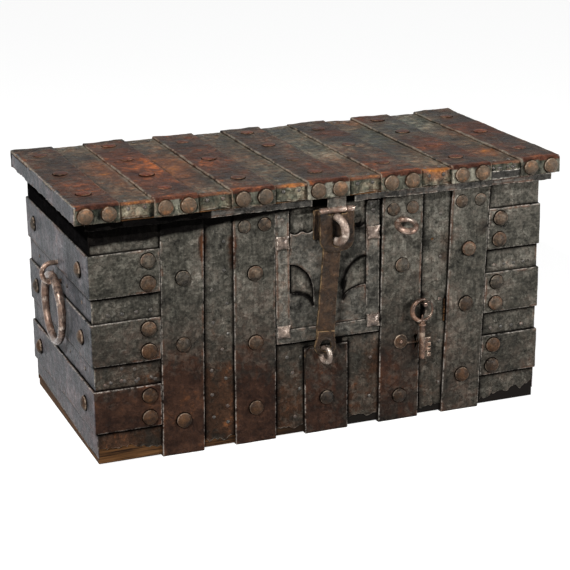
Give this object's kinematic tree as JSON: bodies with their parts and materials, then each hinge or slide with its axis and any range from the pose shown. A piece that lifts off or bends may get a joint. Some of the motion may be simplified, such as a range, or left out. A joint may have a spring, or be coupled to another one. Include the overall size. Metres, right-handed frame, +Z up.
{
  "type": "armada chest",
  "caption": "Iron bound strongbox with riveted bands, a hasp with lock and key, a hinged lid and ring handles at both ends.",
  "frame": {"origin": "on the floor under the middle of the lid", "axes": "+X along the width to the right as seen from the front, +Y to the back, +Z up; the front faces -Y"},
  "size_m": [0.9208, 0.4861, 0.475],
  "materials": {
    "oak": "old dark oak, dry",
    "sheet_iron": "thin hammered sheet iron, grey green and dull",
    "band_iron": "forged iron bands, dark with brown rust",
    "rivet_iron": "forged rivet heads, brown and rubbed",
    "nail_iron": "small forged nails",
    "lock_iron": "lock iron, dark",
    "rim_iron": "blackened iron batten",
    "hinge_iron": "forged iron, dark",
    "rusty_iron": "forged iron with orange brown rust",
    "worn_iron": "forged rod, handled bright"
  },
  "bodies": {
    "chest": {"board_front": "oak", "board_back": "oak", "board_left": "oak", "board_right": "oak", "board_bottom": "oak", "sheet_front": "sheet_iron", "sheet_back": "sheet_iron", "sheet_left": "sheet_iron", "sheet_right": "sheet_iron", "strap_left_outer": "band_iron", "strap_left_inner": "band_iron", "strap_centre": "band_iron", "strap_right_inner": "band_iron", "strap_right_outer": "band_iron", "corner_left_high": "band_iron", "corner_left_middle": "band_iron", "corner_left_low": "band_iron", "corner_right_high": "band_iron", "corner_right_middle": "band_iron", "corner_right_low": "band_iron", "lock_plate": "lock_iron", "frame_strips": "band_iron", "frame_bosses": "worn_iron", "hasp_back_plate": "rusty_iron", "hasp_loop": "worn_iron", "side_loop": "worn_iron", "rivets_front": "rivet_iron", "rivets_sides": "rivet_iron", "nails_body": "nail_iron", "handle_staples": "worn_iron", "key_nail": "worn_iron", "cover_pin": "worn_iron", "lock_case": "lock_iron", "bolt_guide": "lock_iron", "hinge_leaves_chest": "hinge_iron", "hinge_pins": "hinge_iron"},
    "bolt": {"lock_bolt": "hinge_iron"},
    "lid": {"lid_boards": "oak", "lid_strips": "sheet_iron", "lid_band_1": "band_iron", "lid_band_2": "band_iron", "lid_band_3": "band_iron", "lid_band_4": "band_iron", "lid_band_5": "band_iron", "lid_band_6": "band_iron", "lid_band_7": "band_iron", "lid_rivets": "rivet_iron", "lid_nails": "nail_iron", "lid_rim": "rim_iron", "hinge_leaves_lid": "hinge_iron", "hasp_leaf": "rusty_iron"},
    "hasp": {"hasp_pin": "worn_iron", "hasp_plate": "rusty_iron", "hasp_strap": "rusty_iron", "hasp_lug": "rusty_iron"},
    "ring": {"pull_ring": "worn_iron"},
    "left_handle": {"handle_left": "worn_iron"},
    "right_handle": {"handle_right": "worn_iron"},
    "cover": {"keyhole_cover": "rusty_iron"},
    "loose_key": {"key": "worn_iron"}
  },
  "joints": [
    {"name": "lid_hinge", "type": "hinge", "parent": "chest", "child": "lid", "pos_m": [0, 0.235, 0.437], "axis": [-1, 0, 0], "range_deg": [0, 105]},
    {"name": "hasp_swing", "type": "hinge", "parent": "lid", "child": "hasp", "pos_m": [0.016, -0.221, 0.4145], "axis": [-1, 0, 0], "range_deg": [0, 140]},
    {"name": "ring_swing", "type": "hinge", "parent": "hasp", "child": "ring", "pos_m": [-0.00744, -0.221, 0.15644], "axis": [-1, 0, 0], "range_deg": [0, 80]},
    {"name": "left_handle_swing", "type": "hinge", "parent": "chest", "child": "left_handle", "pos_m": [-0.438, 0, 0.289], "axis": [0, 1, 0], "range_deg": [-1.5, 105]},
    {"name": "right_handle_swing", "type": "hinge", "parent": "chest", "child": "right_handle", "pos_m": [0.438, 0, 0.289], "axis": [0, -1, 0], "range_deg": [-1.5, 105]},
    {"name": "key_swing", "type": "hinge", "parent": "chest", "child": "loose_key", "pos_m": [0.1865, -0.216, 0.22074], "axis": [0, 1, 0], "range_deg": [-20, 20]},
    {"name": "cover_swing", "type": "hinge", "parent": "chest", "child": "cover", "pos_m": [0.146, -0.2078, 0.151], "axis": [0, 1, 0], "range_deg": [0, 90]},
    {"name": "bolt_slide", "type": "slide", "parent": "chest", "child": "bolt", "axis": [-1, 0, 0], "range_m": [0, 0.024]}
  ]
}
